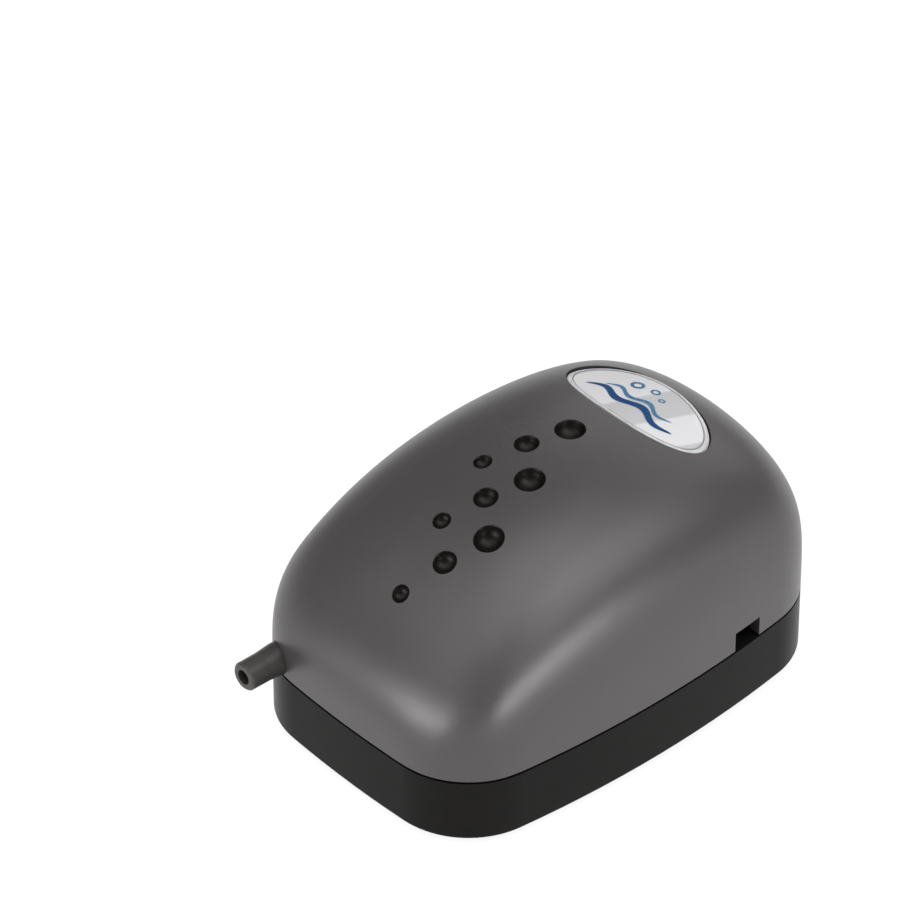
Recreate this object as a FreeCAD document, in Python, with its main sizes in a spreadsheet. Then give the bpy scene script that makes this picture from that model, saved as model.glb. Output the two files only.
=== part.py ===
import FreeCAD, Part
import math
import os
import re

# Small diaphragm air pump for an aquarium. Millimetres, +Z up.
# Modelled about the centre of the housing outline, at the underside of the base:
# X runs across the housing, Y along it with the outlet nozzle at the -Y end.
# Every finished sub-part is then shifted by centre_shift and foot_drop, so the
# assembly stands on its feet at Z = 0 with its outer box centred on X = Y = 0.

DIMENSIONS = {
    # housing outline: four bowed sides joined by round corners
    "half_length": 46.0, "half_width": 32.06, "corner_radius": 16.2,
    "side_bow": 4.4, "end_bow": 2.14,
    # heights
    "seam_level": 13.0, "seam_gap": 0.5, "foot_drop": 0.8, "centre_shift": 3.3,
    # crown of the cover: height above the seam along the length, in half lengths
    "crown_height": 37.67, "crown_rise": 4.65, "crown_drop": 12.14, "crown_cubic": 2.62,
    "front_power": 4.25, "rear_power": 4.32,
    "cross_power": 2.21, "cross_power_slope": 0.358, "cross_power_curve": 0.145,
    "shoulder_power": 3.93, "shoulder_power_slope": 0.234,
    "cover_wall": 2.3, "base_wall": 2.2, "base_floor": 2.2, "base_edge_round": 0.7,
    "lip_outer_inset": 2.6, "lip_inner_inset": 3.8, "lip_start": 10.0, "lip_top": 14.6,
    "lip_play": 0.3, "lip_nozzle_width": 11.0,
    # cutting tools reach past a face by overrun, and a hole's tool is through long
    "overrun": 1.0, "through": 20.0,
    # blind dimples in the cover, three rows of three
    "dimple_x": 1.5, "dimple_y": -14.2, "row_x": 3.8, "row_y": -13.03,
    "step_x": -2.95, "step_y": -7.65, "dimple_skew": 0.33, "row_bow_x": -0.3, "row_bow_y": 0.3,
    "dimple_large": 5.7, "dimple_medium": 4.6, "dimple_small": 3.5,
    "dimple_depth_ratio": 0.45, "dimple_backing": 1.1,
    # middle of the rings that the crown's skin is built from, clear of badge and dimples
    "pole_x": -13.5, "pole_y": 1.0,
    # oval badge let into the crown
    "badge_y": 24.0, "badge_z": 49.0, "badge_half_across": 16.15, "badge_half_along": 8.5,
    "badge_tilt": 13.0, "badge_bend_radius": 52.0, "badge_thickness": 0.9,
    "badge_gap": 0.3, "badge_backing": 1.3, "badge_backing_rim": 1.6, "badge_block": 12.0,
    # outlet nozzle
    "nozzle_x": -19.5, "nozzle_z": 15.4, "nozzle_tip_y": -52.6, "nozzle_radius": 2.75,
    "nozzle_root_radius": 3.0, "nozzle_straight": 4.4, "nozzle_flare": 3.2,
    "nozzle_bore_radius": 1.45, "nozzle_tip_round": 0.35, "collar_y": -34.4,
    "collar_radius": 4.3, "collar_thickness": 1.5, "inner_spigot": 5.0, "spigot_radius": 2.1,
    "nozzle_fit": 0.05, "saddle_width": 6.0, "saddle_depth": 1.6, "saddle_drop": 0.6,
    # cord inlet in the lower edge of the cover
    "inlet_y": 18.7, "inlet_width": 6.5, "inlet_height": 4.3,
    # case screws
    "screw_x": 17.0, "screw_y": 36.5, "front_screw_y": -40.1, "boss_radius": 3.2,
    "case_screw_radius": 1.25, "case_head_radius": 2.3, "case_head_height": 2.2,
    "case_head_seat": 4.6, "case_screw_top": 22.0, "case_screw_play": 0.25, "post_thickening": 0.6,
    "case_slot_length": 2.8, "case_slot_width": 0.5, "case_slot_depth": 1.0, "head_play": 0.3,
    # rubber feet
    "foot_x": 20.5, "foot_y": 25.5, "foot_radius": 4.0, "foot_recess": 0.6,
    # pump stack under the arm
    "pump_y": -10.0, "stack_half_x": 13.0, "stack_half_y": 12.0,
    "valve_box_top": 9.0, "gasket_top": 9.6, "plate_top": 11.6, "chamber_top": 15.0,
    "rim_top": 15.8, "clamp_top": 17.6, "compartment_near": 1.0, "compartment_far": 9.5,
    "compartment_half_y": 8.5, "compartment_floor": 4.0,
    "chamber_radius": 9.5, "clamp_opening": 10.0, "rim_radius": 12.0,
    "cup_top": 19.7, "cup_crown": 1.4, "cup_wall": 0.9, "cup_top_radius": 6.3, "cup_foot_radius": 9.2,
    "cup_corner_top": 0.3, "cup_corner_foot": 0.4, "rim_play": 0.05,
    "stack_screw_x": 11.0, "stack_screw_y": 10.2, "stack_screw_radius": 1.1,
    "stack_screw_end": 3.6, "small_head_radius": 2.0, "small_head_height": 1.4,
    "screw_play": 0.2, "pilot_extra": 0.5, "slot_width": 0.4, "slot_reach": 0.6, "slot_start": 0.45,
    "port_radius": 1.0, "port_x": 5.4, "port_spread": 2.6,
    "flap_near": 2.0, "flap_length": 6.5, "flap_width": 6.0, "flap_thickness": 0.5,
    "flap_gap": 0.1,
    "side_port_y": -14.0, "side_port_z": 6.3, "side_port_length": 5.0,
    "side_port_bore": 1.3, "tube_wall": 1.0, "tube_bend_x": -22.6, "tube_bend_out": 0.8,
    "tube_end_gap": 0.1, "tube_straight": 5.0, "tube_first_back": 4.6, "tube_first_rise": 2.6,
    "tube_next_back": 9.6, "tube_next_drop": 1.9, "tube_bore_play": 0.02,
    # arm, magnets and hinge
    "pivot_y": -31.0, "arm_level": 22.0, "arm_width": 10.0, "arm_thickness": 3.0,
    "arm_end_y": 3.5, "eye_radius": 3.2, "pin_radius": 1.5, "pin_running_gap": 0.05,
    "pin_half_length": 8.5, "bracket_inner_x": 6.0, "bracket_cheek": 2.5,
    "bracket_depth": 7.0, "bracket_plate_z": 3.4, "bracket_plate": 2.0,
    "bracket_half_x": 14.0, "bracket_half_y": 5.0, "bracket_screw_x": 11.4,
    "bracket_above_pin": 4.0, "bracket_post": 3.0, "bracket_screw_end": 1.2,
    "yoke_plate": 1.5, "yoke_half_x": 6.0, "yoke_half_z": 12.5,
    "magnet_half_x": 5.0, "magnet_thickness": 2.8, "magnet_height": 8.0, "magnet_offset": 8.0,
    "arm_screw_radius": 1.25, "arm_head_radius": 2.6, "arm_head_height": 1.5,
    "washer_radius": 5.5, "inner_washer_radius": 4.5, "inner_washer": 0.6,
    "nut_height": 1.6, "nut_radius": 2.6, "screw_past_nut": 0.4,
    # electromagnet
    "core_half_x": 7.0, "core_front_y": 9.0, "core_rear_y": 34.0, "core_bottom": 5.0,
    "core_height": 34.0, "core_yoke": 6.0, "outer_leg": 6.0, "window": 6.0,
    "bobbin_front": 9.8, "bobbin_rear": 27.6, "bobbin_flange": 1.0, "bobbin_wall": 1.05,
    "bobbin_half_x": 14.0, "bobbin_half_z": 10.8, "bobbin_clearance": 0.15,
    "winding_half_x": 12.6, "winding_half_z": 10.2, "winding_round": 2.5,
    "tape_thickness": 0.4, "tape_margin": 1.4,
    "strap_y": 31.2, "strap_width": 4.5, "strap_thickness": 1.0, "strap_foot": 7.0,
    "strap_screw_x": 11.6, "strap_post": 2.6, "strap_screw_end": 1.4,
    "cutout_radius": 1.2, "cutout_length": 9.0, "lead_radius": 0.6, "lead_gap": 0.1,
    "lead_spread": 3.5, "lead_bend_out": 2.2, "lead_bend_back": 2.0,
    "lead_bend_drop": 1.6, "cord_core_spread": 0.9,
    # cord clamp
    "clamp_x": 20.5, "clamp_half_x": 2.5, "clamp_screw_y": 5.8, "clamp_half_y": 8.5,
    "clamp_bar": 2.0, "clamp_post": 2.8, "clamp_screw_end": 8.0, "clamp_web": 2.0,
    "core_rest_front": 3.0, "core_rest_rear": 4.0,
    # air filter in the underside
    "filter_x": 5.25, "filter_half_x": 5.75, "filter_half_y": 10.0, "filter_plate": 1.2,
    "filter_recess": 1.5, "filter_fit": 0.2, "filter_slot": 1.2, "filter_slot_pitch": 2.2,
    "felt_top": 5.0, "felt_play": 0.1, "filter_slot_margin": 0.8,
}

doc = FreeCAD.newDocument("air_pump")
sheet = doc.addObject("Spreadsheet::Sheet", "dims")
for row, (alias, amount) in enumerate(DIMENSIONS.items(), start=1):
    sheet.set("A%d" % row, alias)
    sheet.set("B%d" % row, str(amount))
    sheet.setAlias("B%d" % row, alias)
doc.recompute()


def val(alias):
    return float(getattr(sheet, alias))


def bound(text):
    """An expression in plain alias names, turned into one that reads the sheet."""
    return re.sub(r"[a-z][a-z_]+", lambda hit: "dims." + hit.group(0), str(text))


def bind(obj, **sizes):
    for name, text in sizes.items():
        obj.setExpression(name, bound(text))
    return obj


def place(obj, at, turn=None):
    if turn is not None:
        obj.Placement = FreeCAD.Placement(FreeCAD.Vector(0, 0, 0), turn)
    for axis, text in zip("xyz", at):
        obj.setExpression("Placement.Base." + axis, bound(text))
    return obj


ALONG_X = FreeCAD.Rotation(FreeCAD.Vector(0, 1, 0), 90)
ALONG_Y = FreeCAD.Rotation(FreeCAD.Vector(1, 0, 0), -90)


def box(name, corner, size):
    obj = doc.addObject("Part::Box", name)
    bind(obj, Length=size[0], Width=size[1], Height=size[2])
    return place(obj, corner)


def rod(name, at, radius, length, turn=None):
    obj = doc.addObject("Part::Cylinder", name)
    bind(obj, Radius=radius, Height=length)
    return place(obj, at, turn)


def cut(name, base, *tools):
    tool = tools[0] if len(tools) == 1 else join(name + "_tools", *tools)
    obj = doc.addObject("Part::Cut", name)
    obj.Base = base
    obj.Tool = tool
    return obj


def join(name, *shapes):
    obj = doc.addObject("Part::MultiFuse", name)
    obj.Shapes = list(shapes)
    return obj


def overlap(name, first, second):
    obj = doc.addObject("Part::MultiCommon", name)
    obj.Shapes = [first, second]
    return obj


def solid(name, shape):
    obj = doc.addObject("Part::Feature", name)
    obj.Shape = shape
    return obj


SUBPARTS = []


def subpart(label, *members):
    """A finished piece: its solids, moved from the housing's frame to the row's."""
    obj = doc.addObject("Part::Compound", label)
    obj.Links = list(members)
    place(obj, ("0", "centre_shift", "foot_drop"))
    SUBPARTS.append(obj)
    return obj


# ---------------------------------------------------------------- housing outline


def side_centres():
    """Arc centres and radii of the long side, the end and the corner."""
    long_radius = (val("half_length") ** 2 + val("side_bow") ** 2) / (2 * val("side_bow"))
    end_radius = (val("half_width") ** 2 + val("end_bow") ** 2) / (2 * val("end_bow"))
    side_x = val("half_width") - long_radius
    end_y = val("half_length") - end_radius
    near = long_radius - val("corner_radius")
    far = end_radius - val("corner_radius")
    span = math.hypot(side_x, end_y)
    along = (near ** 2 - far ** 2 + span ** 2) / (2 * span)
    out = math.sqrt(near ** 2 - along ** 2)
    ux, uy = -side_x / span, end_y / span
    corner_x = side_x + along * ux - out * uy
    corner_y = along * uy + out * ux
    return side_x, long_radius, end_y, end_radius, corner_x, corner_y


def half_outline(inset):
    """Half width of the outline as a function of y, moved in by the inset."""
    side_x, long_radius, end_y, end_radius, corner_x, corner_y = side_centres()
    long_radius -= inset
    end_radius -= inset
    corner = val("corner_radius") - inset
    side_turn = corner_y * long_radius / math.hypot(corner_x - side_x, corner_y)
    reach = math.hypot(corner_x, corner_y - end_y)
    end_turn = end_y + (corner_y - end_y) * end_radius / reach

    def width(y):
        y = abs(y)
        if y <= side_turn:
            return side_x + math.sqrt(long_radius ** 2 - y ** 2)
        if y <= end_turn:
            return corner_x + math.sqrt(max(corner ** 2 - (y - corner_y) ** 2, 0.0))
        return math.sqrt(max(end_radius ** 2 - (y - end_y) ** 2, 0.0))

    return width


def outline_face(inset, level):
    """Flat face bounded by the outline: bowed sides and ends, round corners."""
    side_x, long_radius, end_y, end_radius, corner_x, corner_y = side_centres()
    corner = val("corner_radius") - inset
    side_way = FreeCAD.Vector(corner_x - side_x, corner_y, 0).normalize()
    end_way = FreeCAD.Vector(corner_x, corner_y - end_y, 0).normalize()
    mid_way = (side_way + end_way).normalize()
    centre = FreeCAD.Vector(corner_x, corner_y, 0)
    side_point = centre + side_way * corner
    mid_point = centre + mid_way * corner
    end_point = centre + end_way * corner
    side_mid = FreeCAD.Vector(val("half_width") - inset, 0, 0)
    end_mid = FreeCAD.Vector(0, val("half_length") - inset, 0)

    def spot(point, sx, sy):
        return FreeCAD.Vector(point.x * sx, point.y * sy, level)

    arcs = [
        (spot(side_point, 1, -1), spot(side_mid, 1, 1), spot(side_point, 1, 1)),
        (spot(side_point, 1, 1), spot(mid_point, 1, 1), spot(end_point, 1, 1)),
        (spot(end_point, 1, 1), spot(end_mid, 1, 1), spot(end_point, -1, 1)),
        (spot(end_point, -1, 1), spot(mid_point, -1, 1), spot(side_point, -1, 1)),
        (spot(side_point, -1, 1), spot(side_mid, -1, 1), spot(side_point, -1, -1)),
        (spot(side_point, -1, -1), spot(mid_point, -1, -1), spot(end_point, -1, -1)),
        (spot(end_point, -1, -1), spot(end_mid, 1, -1), spot(end_point, 1, -1)),
        (spot(end_point, 1, -1), spot(mid_point, 1, -1), spot(side_point, 1, -1)),
    ]
    edges = [Part.Arc(first, middle, last).toShape() for first, middle, last in arcs]
    return Part.Face(Part.Wire(edges))


def outline_prism(name, inset, low, high):
    """The outline, drawn at the height low and raised to the height high."""
    face = solid(name + "_face", outline_face(inset, val(low) if low in DIMENSIONS else float(low)))
    obj = doc.addObject("Part::Extrusion", name)
    obj.Base = face
    obj.DirMode = "Custom"
    obj.Dir = FreeCAD.Vector(0, 0, 1)
    obj.Solid = True
    obj.setExpression("LengthFwd", bound("%s - (%s)" % (high, low)))
    return obj


# ------------------------------------------------------------------- cover's crown


def crown(inset):
    """Height of the crown above the seam at (x, y), for the skin moved in by inset."""
    width = half_outline(inset)
    reach = val("half_length") - inset
    shrink = 1.0 - inset / val("crown_height")

    def height(x, y):
        along = max(-1.0, min(1.0, y / reach))
        power = val("rear_power") if along > 0 else val("front_power")
        ridge = val("crown_height") + val("crown_rise") * along
        ridge += val("crown_cubic") * along ** 3 - val("crown_drop") * along ** 2
        ridge *= max(0.0, 1.0 - abs(along) ** power) ** (1.0 / power)
        across_power = val("cross_power") - val("cross_power_slope") * along
        across_power += val("cross_power_curve") * along ** 2
        shoulder = val("shoulder_power") + val("shoulder_power_slope") * along
        half = width(y)
        across = min(1.0, abs(x) / half) if half > 1e-6 else 1.0
        return ridge * shrink * max(0.0, 1.0 - across ** across_power) ** (1.0 / shoulder)

    return height


def edge_distance(width, way_x, way_y):
    """Distance from the pole to the outline along a direction, by bisection."""
    low, high = 0.0, 2.2 * val("half_length")
    for _ in range(60):
        middle = (low + high) / 2
        x, y = val("pole_x") + way_x * middle, val("pole_y") + way_y * middle
        outside = abs(y) >= val("half_length") or abs(x) >= width(y)
        low, high = (low, middle) if outside else (middle, high)
    return low


def crown_solid(inset):
    """Solid under the crown: one smooth patch of rings round a pole, and a flat base."""
    spokes, rings = 80, 24
    width = half_outline(inset)
    height = crown(inset)
    seam = val("seam_level")
    knots = [ring / rings for ring in range(rings + 1)]
    turns = [spoke / spokes for spoke in range(spokes + 1)]
    net = []
    for ring in knots[:-1]:
        share = 1.0 - ring ** 4
        points = []
        for turn in turns[:-1]:
            way_x, way_y = -math.cos(2 * math.pi * turn), math.sin(-2 * math.pi * turn)
            reach = edge_distance(width, way_x, way_y) * share
            x, y = val("pole_x") + way_x * reach, val("pole_y") + way_y * reach
            lift = height(x, y) if ring > 0 else 0.0
            points.append(FreeCAD.Vector(x, y, seam + lift))
        curve = Part.BSplineCurve()
        curve.interpolate(Points=points, Parameters=turns, PeriodicFlag=True)
        net.append(curve.getPoles())
        around = curve
    top = FreeCAD.Vector(val("pole_x"), val("pole_y"), seam + height(val("pole_x"), val("pole_y")))
    poles = []
    for column in range(len(net[0])):
        line = Part.BSplineCurve()
        line.interpolate(Points=[ring[column] for ring in net] + [top], Parameters=knots)
        poles.append(line.getPoles())
    surface = Part.BSplineSurface()
    surface.buildFromPolesMultsKnots(
        poles, around.getMultiplicities(), line.getMultiplicities(),
        around.getKnots(), line.getKnots(), True, False, around.Degree, line.Degree)
    skin = surface.toShape()
    rim = [edge for edge in skin.Edges if edge.BoundBox.ZMax < seam + 1e-3 and edge.Length > 1]
    floor = Part.Face(Part.Wire(rim))
    shell = Part.makeShell([skin, floor])
    shell.sewShape()
    body = Part.makeSolid(shell)
    if body.Volume < 0:
        body.reverse()
    return body


def crown_normal(x, y):
    """Outward normal of the cover's skin at (x, y)."""
    height = crown(0.0)
    step = 0.05
    slope_x = (height(x + step, y) - height(x - step, y)) / (2 * step)
    slope_y = (height(x, y + step) - height(x, y - step)) / (2 * step)
    return FreeCAD.Vector(-slope_x, -slope_y, 1).normalize()


def dimple_balls(name, extra):
    """Nine balls sunk into the skin in three slanting rows, large to small."""
    balls = []
    for row in (-1, 0, 1):
        for step, size in zip((-1, 0, 1), ("dimple_large", "dimple_medium", "dimple_small")):
            x = val("dimple_x") + row * val("row_x") + step * val("step_x")
            y = val("dimple_y") + row * val("row_y") + step * val("step_y")
            x += val("row_bow_x") * row ** 2 - val("dimple_skew") * row * step
            y += val("row_bow_y") * row ** 2 + val("dimple_skew") * row * step
            depth = val(size) * val("dimple_depth_ratio")
            radius = ((val(size) / 2) ** 2 + depth ** 2) / (2 * depth)
            lift = crown(0.0)(x, y) + val("seam_level")
            centre = FreeCAD.Vector(x, y, lift) + crown_normal(x, y) * (radius - depth)
            ball = doc.addObject("Part::Sphere", "%s_%d_%d" % (name, row + 2, step + 2))
            ratio = "(0.25 / dimple_depth_ratio + dimple_depth_ratio) / 2"
            bind(ball, Radius="%s * %s + %s" % (size, ratio, extra))
            ball.Placement.Base = centre
            balls.append(ball)
    return join(name, *balls)


def badge_turn():
    return FreeCAD.Rotation(FreeCAD.Vector(1, 0, 0), -val("badge_tilt"))


def badge_spot(offset):
    """Point on the badge's own normal, offset from the middle of its face."""
    normal = badge_turn().multVec(FreeCAD.Vector(0, 0, 1))
    middle = FreeCAD.Vector(0, val("badge_y"), val("badge_z"))
    return middle + normal * offset


def oval_column(name, extra):
    """Oval column on the badge's normal, wider than the badge by extra."""
    ellipse = doc.addObject("Part::Ellipse", name + "_edge")
    bind(ellipse, MajorRadius="badge_half_across + " + extra, MinorRadius="badge_half_along + " + extra)
    ellipse.Placement = FreeCAD.Placement(badge_spot(-val("badge_block") / 2), badge_turn())
    obj = doc.addObject("Part::Extrusion", name)
    obj.Base = ellipse
    obj.DirMode = "Normal"
    obj.Solid = True
    obj.setExpression("LengthFwd", bound("badge_block"))
    return obj


def badge_roll(name, sunk):
    """Cylinder whose top follows the bend of the badge, sunk below its face."""
    turn = badge_turn().multiply(ALONG_Y)
    way = badge_turn().multVec(FreeCAD.Vector(0, 1, 0))
    obj = doc.addObject("Part::Cylinder", name)
    bind(obj, Radius="badge_bend_radius - (%s)" % sunk, Height="4 * badge_block")
    start = badge_spot(-val("badge_bend_radius")) - way * (2 * val("badge_block"))
    obj.Placement = FreeCAD.Placement(start, turn)
    return obj


def screw_places():
    return (("left", "-screw_x", "screw_y"), ("right", "screw_x", "screw_y"),
            ("front", "0", "front_screw_y"))


def upper_cover():
    """Domed upper half: skin, screw bosses, dimples, badge recess, cord and nozzle openings."""
    outer = solid("crown_outer", crown_solid(0.0))
    hollow = solid("crown_hollow", crown_solid(val("cover_wall")))
    bosses = [rod("cover_boss_" + side, (x, y, "seam_level - overrun"), "boss_radius", "2 * crown_height")
              for side, x, y in screw_places()]
    backing = cut("badge_backing_block", oval_column("badge_backing_column", "badge_backing_rim"),
                  badge_roll("badge_backing_roll", "badge_thickness + badge_backing"))
    inside = cut("cover_inside", hollow, dimple_balls("dimple_backing_balls", "dimple_backing"),
                 backing, *bosses)
    recess = cut("badge_recess", oval_column("badge_recess_column", "badge_gap"),
                 badge_roll("badge_recess_roll", "badge_thickness"))
    pilots = [rod("cover_pilot_" + side, (x, y, "seam_level - overrun"), "case_screw_radius",
                  "case_screw_top - seam_level + 2 * overrun") for side, x, y in screw_places()]
    slab = box("seam_slab", ("-2 * half_width", "-2 * half_length", "seam_level - overrun"),
               ("4 * half_width", "4 * half_length", "overrun + seam_gap / 2"))
    hole = rod("cover_nozzle_hole", ("nozzle_x", "nozzle_tip_y", "nozzle_z"),
               "nozzle_root_radius + nozzle_fit", "through", ALONG_Y)
    notch = box("cord_notch", ("half_width - through / 2", "inlet_y", "seam_level - overrun"),
                ("through", "inlet_width", "inlet_height + overrun"))
    body = cut("cover_body", outer, inside)
    body = cut("cover_finished", body, dimple_balls("dimple_balls", "0"), recess, slab, hole,
               notch, *pilots)
    subpart("upper_cover", body)


def clamp_screw_place(side):
    """Place along Y of the cord clamp's screw on one side of the cord."""
    return "inlet_y + inlet_width / 2 + %d * clamp_screw_y" % side


def base_screw_wells():
    """Wells, clearance ways and pilot holes for every screw that the base takes."""
    wells = [rod("screw_well_" + side, (x, y, "-overrun"), "case_head_radius + head_play",
                 "case_head_seat + overrun") for side, x, y in screw_places()]
    wells += [rod("screw_way_" + side, (x, y, "-overrun"), "case_screw_radius + case_screw_play",
                  "through") for side, x, y in screw_places()]
    for side in (-1, 1):
        wells += [rod("bracket_pilot_%d" % side, ("%d * bracket_screw_x" % side, "pivot_y", "overrun"),
                      "stack_screw_radius", "through"),
                  rod("strap_pilot_%d" % side, ("%d * strap_screw_x" % side, "strap_y", "overrun"),
                      "stack_screw_radius", "through"),
                  rod("clamp_pilot_%d" % side,
                      ("clamp_x", clamp_screw_place(side), "clamp_screw_end - pilot_extra"),
                      "stack_screw_radius", "through")]
    return wells


def base_seats():
    """Seats for the feet, the nozzle and the filter."""
    seats = [rod("foot_seat_%d_%d" % (across, along),
                 ("%d * foot_x" % across, "%d * foot_y" % along, "-overrun"),
                 "foot_radius", "foot_recess + overrun") for across in (-1, 1) for along in (-1, 1)]
    seats.append(rod("saddle_round", ("nozzle_x", "nozzle_tip_y", "nozzle_z"),
                     "nozzle_root_radius + nozzle_fit", "1.25 * through", ALONG_Y))
    seats.append(box("filter_seat", ("filter_x - filter_half_x - filter_fit",
                                     "pump_y - filter_half_y - filter_fit", "-overrun"),
                     ("2 * (filter_half_x + filter_fit)", "2 * (filter_half_y + filter_fit)",
                      "filter_recess + overrun")))
    seats.append(box("filter_hole", ("compartment_near", "pump_y - compartment_half_y", "-overrun"),
                     ("compartment_far - compartment_near", "2 * compartment_half_y",
                      "base_floor + 2 * overrun")))
    return seats


def lower_base():
    """Tray-like lower half: floor, wall, registering lip, posts, screw wells, filter recess."""
    plain = outline_prism("base_block", 0.0, "0", "seam_level - seam_gap / 2")
    doc.recompute()
    rounded = doc.addObject("Part::Fillet", "base_rounded")
    rounded.Base = plain
    low = [number for number, edge in enumerate(plain.Shape.Edges, start=1)
           if edge.BoundBox.ZMax < 0.01]
    size = val("base_edge_round")
    rounded.Edges = [(number, size, size) for number in low]
    lip = outline_prism("base_lip", val("lip_outer_inset"), "lip_start", "lip_top")
    well = outline_prism("base_well", val("base_wall"), "base_floor", "lip_start")
    mouth = outline_prism("base_mouth", val("lip_inner_inset"), "lip_start", "lip_top + overrun")
    top = "seam_level - seam_gap / 2"
    nozzle_gap = box("lip_nozzle_gap", ("nozzle_x - lip_nozzle_width / 2", "-half_length", top),
                     ("lip_nozzle_width", "through / 2", "lip_top"))
    cord_gap = box("lip_cord_gap", ("half_width - through / 2", "inlet_y - 2 * lip_play", top),
                   ("through / 2", "inlet_width + 4 * lip_play", "lip_top"))
    boss_gaps = [rod("lip_boss_gap_" + side, (x, y, top), "boss_radius + lip_play", "lip_top")
                 for side, x, y in screw_places()]
    shell = cut("base_shell", join("base_raw", rounded, lip), well, mouth, nozzle_gap, cord_gap, *boss_gaps)
    foot = "base_floor / 2"
    posts = [rod("base_boss_" + side, (x, y, foot), "boss_radius + post_thickening",
                 "%s - %s" % (top, foot)) for side, x, y in screw_places()]
    posts += [rod("bracket_boss_%d" % side, ("%d * bracket_screw_x" % side, "pivot_y", foot),
                  "bracket_post", "bracket_plate_z - " + foot) for side in (-1, 1)]
    posts += [rod("strap_boss_%d" % side, ("%d * strap_screw_x" % side, "strap_y", foot),
                  "strap_post", "core_bottom - " + foot) for side in (-1, 1)]
    posts += [rod("clamp_boss_%d" % side, ("clamp_x", clamp_screw_place(side), foot),
                  "clamp_post", "seam_level - " + foot) for side in (-1, 1)]
    posts.append(box("clamp_web", ("clamp_x - clamp_web / 2", "inlet_y - clamp_web", foot),
                     ("clamp_web", "inlet_width + 2 * clamp_web", "seam_level - " + foot)))
    posts.append(box("core_rest_front", ("-core_half_x", "core_front_y + overrun", foot),
                     ("2 * core_half_x", "core_rest_front", "core_bottom - " + foot)))
    posts.append(box("core_rest_rear", ("-core_half_x", "core_rear_y - core_rest_rear - overrun", foot),
                     ("2 * core_half_x", "core_rest_rear", "core_bottom - " + foot)))
    posts.append(box("nozzle_saddle", ("nozzle_x - saddle_width / 2",
                                       "collar_y - saddle_depth - screw_play", foot),
                     ("saddle_width", "saddle_depth", "nozzle_z - saddle_drop - " + foot)))
    wells = base_screw_wells() + base_seats()
    subpart("lower_base", cut("base_finished", join("base_with_posts", shell, *posts), *wells))


def outlet_nozzle():
    """Hollow outlet pipe: straight tip, tapered root, collar and spigot inside the housing."""
    at = ("nozzle_x", "nozzle_tip_y", "nozzle_z")
    tip = doc.addObject("Part::Cone", "nozzle_tip_cone")
    bind(tip, Radius1="nozzle_radius - nozzle_tip_round", Radius2="nozzle_radius",
         Height="nozzle_tip_round")
    place(tip, at, ALONG_Y)
    straight = rod("nozzle_straight_pipe", ("nozzle_x", "nozzle_tip_y + nozzle_tip_round", "nozzle_z"),
                   "nozzle_radius", "nozzle_straight - nozzle_tip_round", ALONG_Y)
    flare = doc.addObject("Part::Cone", "nozzle_flare_cone")
    bind(flare, Radius1="nozzle_radius", Radius2="nozzle_root_radius", Height="nozzle_flare")
    place(flare, ("nozzle_x", "nozzle_tip_y + nozzle_straight", "nozzle_z"), ALONG_Y)
    root_y = "nozzle_tip_y + nozzle_straight + nozzle_flare"
    root = rod("nozzle_root_pipe", ("nozzle_x", root_y, "nozzle_z"), "nozzle_root_radius",
               "collar_y - (%s)" % root_y, ALONG_Y)
    collar = rod("nozzle_collar", ("nozzle_x", "collar_y", "nozzle_z"), "collar_radius",
                 "collar_thickness", ALONG_Y)
    spigot = rod("nozzle_spigot", ("nozzle_x", "collar_y + collar_thickness", "nozzle_z"),
                 "spigot_radius", "inner_spigot", ALONG_Y)
    bore = rod("nozzle_bore", ("nozzle_x", "nozzle_tip_y - overrun", "nozzle_z"), "nozzle_bore_radius",
               "2 * through", ALONG_Y)
    body = join("nozzle_body", tip, straight, flare, root, collar, spigot)
    subpart("outlet_nozzle", cut("nozzle_finished", body, bore))


def badge_plate():
    """Thin oval plate, bent across the width like the crown under it."""
    disc = overlap("badge_disc", oval_column("badge_column", "0"), badge_roll("badge_face_roll", "0"))
    subpart("badge_plate", cut("badge_finished", disc, badge_roll("badge_under_roll", "badge_thickness")))


def rubber_feet():
    feet = [rod("foot_%d_%d" % (across, along), ("%d * foot_x" % across, "%d * foot_y" % along, "-foot_drop"),
                "foot_radius", "foot_drop + foot_recess") for across in (-1, 1) for along in (-1, 1)]
    subpart("rubber_feet", *feet)


def cross_screw(name, x, y, under_head, radius, end, head_radius, head_height):
    """Pan-head screw pointing down, with a cross recess in its head."""
    shank = rod(name + "_shank", (x, y, end), radius, "%s - (%s)" % (under_head, end))
    head = rod(name + "_head", (x, y, under_head), head_radius, head_height)
    half = "(%s) * slot_reach" % head_radius
    deep = "(%s) + (%s) * slot_start" % (under_head, head_height)
    first = box(name + "_slot_x", ("(%s) - %s" % (x, half), "(%s) - slot_width / 2" % y, deep),
                ("2 * " + half, "slot_width", head_height))
    second = box(name + "_slot_y", ("(%s) - slot_width / 2" % x, "(%s) - %s" % (y, half), deep),
                 ("slot_width", "2 * " + half, head_height))
    return cut(name, join(name + "_blank", shank, head), first, second)


def case_screws():
    """Three screws driven up from the underside, heads sunk in wells."""
    screws = []
    for side, x, y in screw_places():
        shank = rod("case_shank_" + side, (x, y, "case_head_seat"), "case_screw_radius",
                    "case_screw_top - case_head_seat")
        head = rod("case_head_" + side, (x, y, "case_head_seat - case_head_height"),
                   "case_head_radius", "case_head_height")
        low = "case_head_seat - case_head_height - overrun"
        deep = "case_slot_depth + overrun"
        long_side, short_side = " - case_slot_length / 2", " - case_slot_width / 2"
        first = box("case_slot_x_" + side, (x + long_side, y + short_side, low),
                    ("case_slot_length", "case_slot_width", deep))
        second = box("case_slot_y_" + side, (x + short_side, y + long_side, low),
                     ("case_slot_width", "case_slot_length", deep))
        screws.append(cut("case_screw_" + side, join("case_blank_" + side, shank, head), first, second))
    subpart("case_screws", *screws)


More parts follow.
